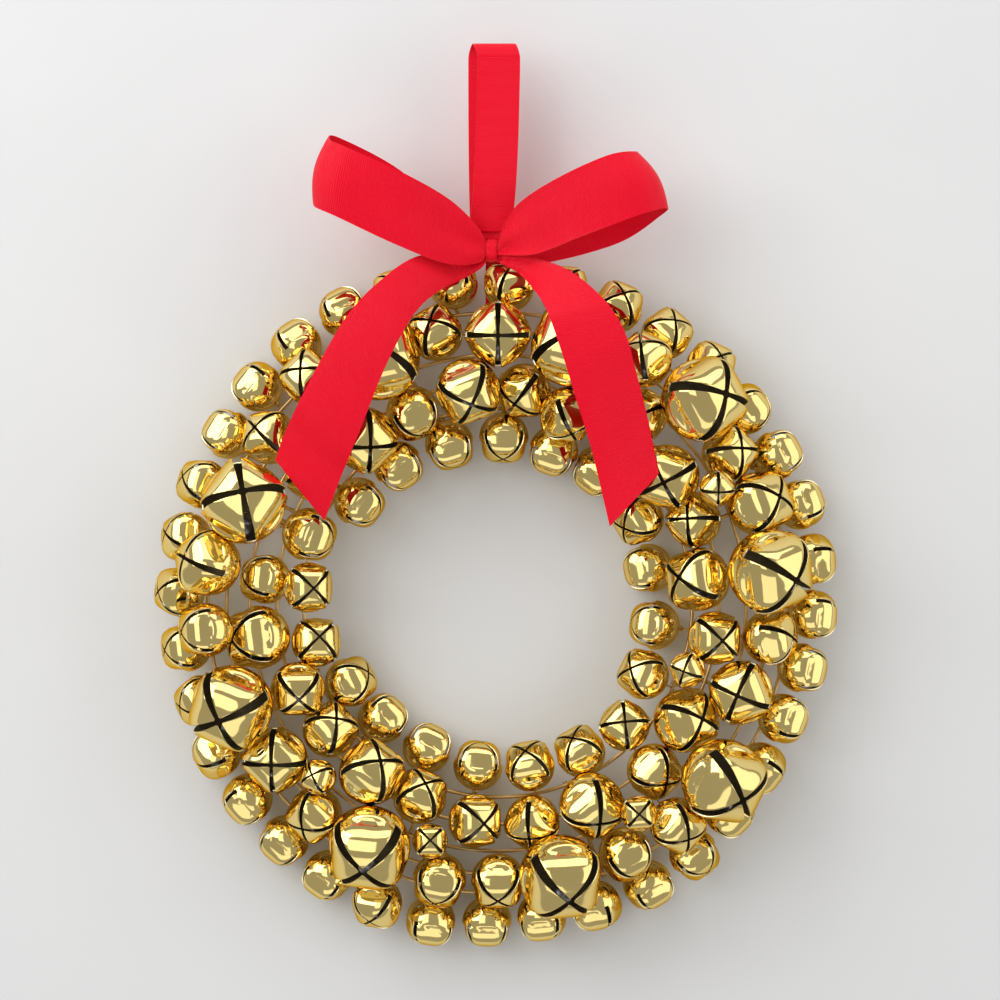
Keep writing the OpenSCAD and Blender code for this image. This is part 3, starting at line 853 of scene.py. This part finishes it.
def hanging_loop():
    """The narrow loop that stands up from the knot and goes over the hook."""
    half = LOOP_GAP / 2
    rise = [(0.5, LOOP_LOW), (3, LOOP_LOW + 8), (half, LOOP_LOW + 24), (half, LOOP_LOW + 50),
            (half, -half - 6), (half, LOOP_TOP - half), (LOOP_ROUND * half, LOOP_TOP - (1 - LOOP_ROUND) * half)]
    path = [FRONT_FOOT] + [(-y, z) for y, z in rise[1:]] + [(0, LOOP_TOP)] + rise[::-1]
    first, second = ([Vector((x + middle, y, z)) * MM for (y, z), middle in zip(path, LOOP_MIDDLE)]
                     for x in (-LOOP_WIDE / 2, LOOP_WIDE / 2))

    def gather(share, u):
        root = math.exp(-min(share, 1 - share) / 0.05)
        return FOOT_PLEAT * root * math.sin(2.5 * math.pi * u)

    strip = ribbon_strip("hanging_loop", first, second, gather)
    stands_for(strip, "hanging_loop", "hanging_loop")


# The hanging loop's root, in mm from the wreath's centre
ROOT_SIDES = (-6.5, 2)      # its two edges behind the knot
ROOT_TOP = (-14, 7.4)       # its two edges at the top, where it is wider
ROOT_FRONT = -14
ROOT_NARROW = 188           # height at which it is half narrowed
ROOT_PATH = ((-13.2, 183), (-6, 180.5), (4.5, 175), (5, 165))
ROOT_WRAP = 1.55            # radius of its turn round the ring wire
WIRE_R = 1                  # radius of the outermost ring's wire


def loop_root():
    """The end of the loop's ribbon, which passes behind the knot and hooks under the outermost ring."""
    reach = (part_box("ring_5")[1].z - CENTRE.z) / MM - WIRE_R
    top = (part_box("loop_root")[1].z - CENTRE.z) / MM
    slant = 0.7 * ROOT_WRAP
    edges = []
    for x, wide in zip(ROOT_SIDES, ROOT_TOP):
        ring = math.sqrt(reach ** 2 - x ** 2)
        hook = ((3.5, ring + 3), (ROOT_WRAP, ring), (slant, ring - slant), (0, ring - ROOT_WRAP),
                (-slant, ring - slant), (-ROOT_WRAP, ring - 0.3))
        edges.append([from_centre(wide, ROOT_FRONT, top), from_centre((wide + x) / 2, ROOT_FRONT, ROOT_NARROW)]
                     + [from_centre(x, y, z) for y, z in ROOT_PATH + hook])
    first, second = edges
    strip = ribbon_strip("loop_root", first, second, None)
    stands_for(strip, "wreath", "loop_root")


# Operators, one for each piece or group of like pieces

class MakeBells(bpy.types.Operator):
    """Models one bell of each size and copies it to every place"""

    bl_idname = "wreath.make_bells"
    bl_label = "Bells"

    def execute(self, context):
        for size, (form, groups) in bell_sizes().items():
            pattern = bell_pattern(size + "_pattern", form)
            for bells, shanks in groups:
                copies = [copy_at(pattern, place) for place in bell_places(bells, shanks, form.radius)]
                stands_for(joined(copies, bells + "_polished"), "wreath", bells)
            removed(pattern)
        return {"FINISHED"}


class FinishWires(bpy.types.Operator):
    """Gives the rings, cross wires, tie wires, shanks and pellets their metal"""

    bl_idname = "wreath.finish_wires"
    bl_label = "Wires and Pellets"

    def execute(self, context):
        for name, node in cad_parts.items():
            pellet = "pellet" in name
            wire = any(word in name for word in ("ring_", "wires", "shank"))
            if pellet or wire:
                node.data.materials.clear()
                node.data.materials.append(steel_pellet() if pellet else brass_wire())
        return {"FINISHED"}


class MakeBow(bpy.types.Operator):
    """Models the bow: two loops, two tails and the knot"""

    bl_idname = "wreath.make_bow"
    bl_label = "Bow"

    def execute(self, context):
        bow_loop("bow_left_loop", LEFT_LOOP, LOOP_BULGE)
        bow_loop("bow_right_loop", RIGHT_LOOP, -LOOP_BULGE)
        tail("left_tail", LEFT_TAIL)
        tail("right_tail", RIGHT_TAIL)
        bow_knot()
        return {"FINISHED"}


class MakeHangingLoop(bpy.types.Operator):
    """Models the hanging loop and its root round the frame"""

    bl_idname = "wreath.make_hanging_loop"
    bl_label = "Hanging Loop"

    def execute(self, context):
        hanging_loop()
        loop_root()
        return {"FINISHED"}


class MakeStage(bpy.types.Operator):
    """Sets up the wall, the lights and the camera"""

    bl_idname = "wreath.make_stage"
    bl_label = "Stage"

    def execute(self, context):
        make_wall()
        make_lights()
        make_camera()
        context.scene.view_settings.view_transform = "Standard"
        return {"FINISHED"}


def make_wall():
    """A pale wall just behind the wreath, which shows only from its front."""
    stage = bpy.context.scene.wreath_stage
    bpy.ops.object.select_all(action="DESELECT")
    bpy.ops.mesh.primitive_plane_add(size=stage.wall_size, rotation=(RIGHT_ANGLE, 0, 0))
    wall = bpy.context.object
    wall.name = "wall"
    wall.location = (0, CAD_BOX[1].y + stage.wall_gap, CENTRE.z)
    bpy.ops.object.transform_apply(location=True, rotation=True, scale=True)
    it = Finish("plain_wall")
    tint = it.tinted(it.noise(scale=9.0, detail=5.0), stage.wall, darkest=0.94)
    paint = it.node("ShaderNodeBsdfDiffuse", None, {"Color": tint})
    clear = it.node("ShaderNodeBsdfTransparent")
    from_behind = it.node("ShaderNodeNewGeometry", output="Backfacing")
    surface = it.node("ShaderNodeMixShader", None, {0: from_behind, 1: paint, 2: clear})
    it.node("ShaderNodeOutputMaterial", None, {"Surface": surface})
    wall.data.materials.append(it.material)


# Each lamp's place from the wreath's centre, its width and height in metres, and its power in watts
LAMPS = {
    "key_light": ((-1.3, -1.0, 0.9), (1.4, 1.8), 20),
    "fill_light": ((1.6, -0.9, 0.1), (1.6, 2.4), 12),
    "front_light": ((-0.75, -2.0, 0.3), (1.0, 1.7), 6),
    "top_light": ((0.2, -0.9, 1.7), (2.4, 1.0), 10.5),
    "low_light": ((-0.2, -1.2, -1.5), (2.0, 0.8), 4),
}


def make_lights():
    """Large soft lamps on both sides, in front, above and below, and a grey room."""
    middle = Vector((0, 0, CENTRE.z))
    for name, (place, size, watts) in LAMPS.items():
        lamp = bpy.data.lights.new(name, "AREA")
        lamp.shape = "RECTANGLE"
        lamp.size, lamp.size_y = size
        lamp.energy = watts
        light = bpy.data.objects.new(name, lamp)
        light.location = middle + Vector(place)
        light.rotation_euler = (-Vector(place)).to_track_quat("-Z", "Y").to_euler()
        bpy.context.scene.collection.objects.link(light)
    world = bpy.data.worlds.new("room")
    world.use_nodes = True
    backdrop = world.node_tree.nodes["Background"]
    backdrop.inputs["Color"].default_value = rgba(bpy.context.scene.wreath_stage.room)
    backdrop.inputs["Strength"].default_value = 1.0
    bpy.context.scene.world = world


SENSOR = 36.0  # width of the camera's sensor in mm


def make_camera():
    """A long lens straight in front of the wreath."""
    stage = bpy.context.scene.wreath_stage
    data = bpy.data.cameras.new("camera")
    data.sensor_width = SENSOR
    data.lens = SENSOR * stage.camera_far / stage.view_size
    camera = bpy.data.objects.new("camera", data)
    camera.location = CENTRE + Vector((stage.view_across, -stage.camera_far, stage.view_up))
    camera.rotation_euler = (RIGHT_ANGLE, 0, 0)
    bpy.context.scene.collection.objects.link(camera)
    bpy.context.scene.camera = camera


OPERATORS = (MakeStage, MakeBells, FinishWires, MakeBow, MakeHangingLoop)


class WreathPanel(bpy.types.Panel):
    """Lists the steps that build the wreath, in order."""

    bl_idname = "VIEW3D_PT_wreath"
    bl_label = "Jingle Bell Wreath"
    bl_space_type = "VIEW_3D"
    bl_region_type = "UI"
    bl_category = "Wreath"

    def draw(self, context):
        for operator in OPERATORS:
            self.layout.operator(operator.bl_idname)
        for settings in SETTINGS:
            box = self.layout.box()
            for key in SETTINGS[settings].__annotations__:
                box.prop(getattr(context.scene, settings), key)


CLASSES = (*SETTINGS.values(), *OPERATORS, WreathPanel)


def register():
    for item in CLASSES:
        bpy.utils.register_class(item)
    for name, group in SETTINGS.items():
        setattr(bpy.types.Scene, name, bpy.props.PointerProperty(type=group))


def unregister():
    for name in SETTINGS:
        delattr(bpy.types.Scene, name)
    for item in reversed(CLASSES):
        bpy.utils.unregister_class(item)


def main():
    register()
    for operator in OPERATORS:
        group, name = operator.bl_idname.split(".")
        getattr(getattr(bpy.ops, group), name)()


if __name__ == "__main__":
    main()
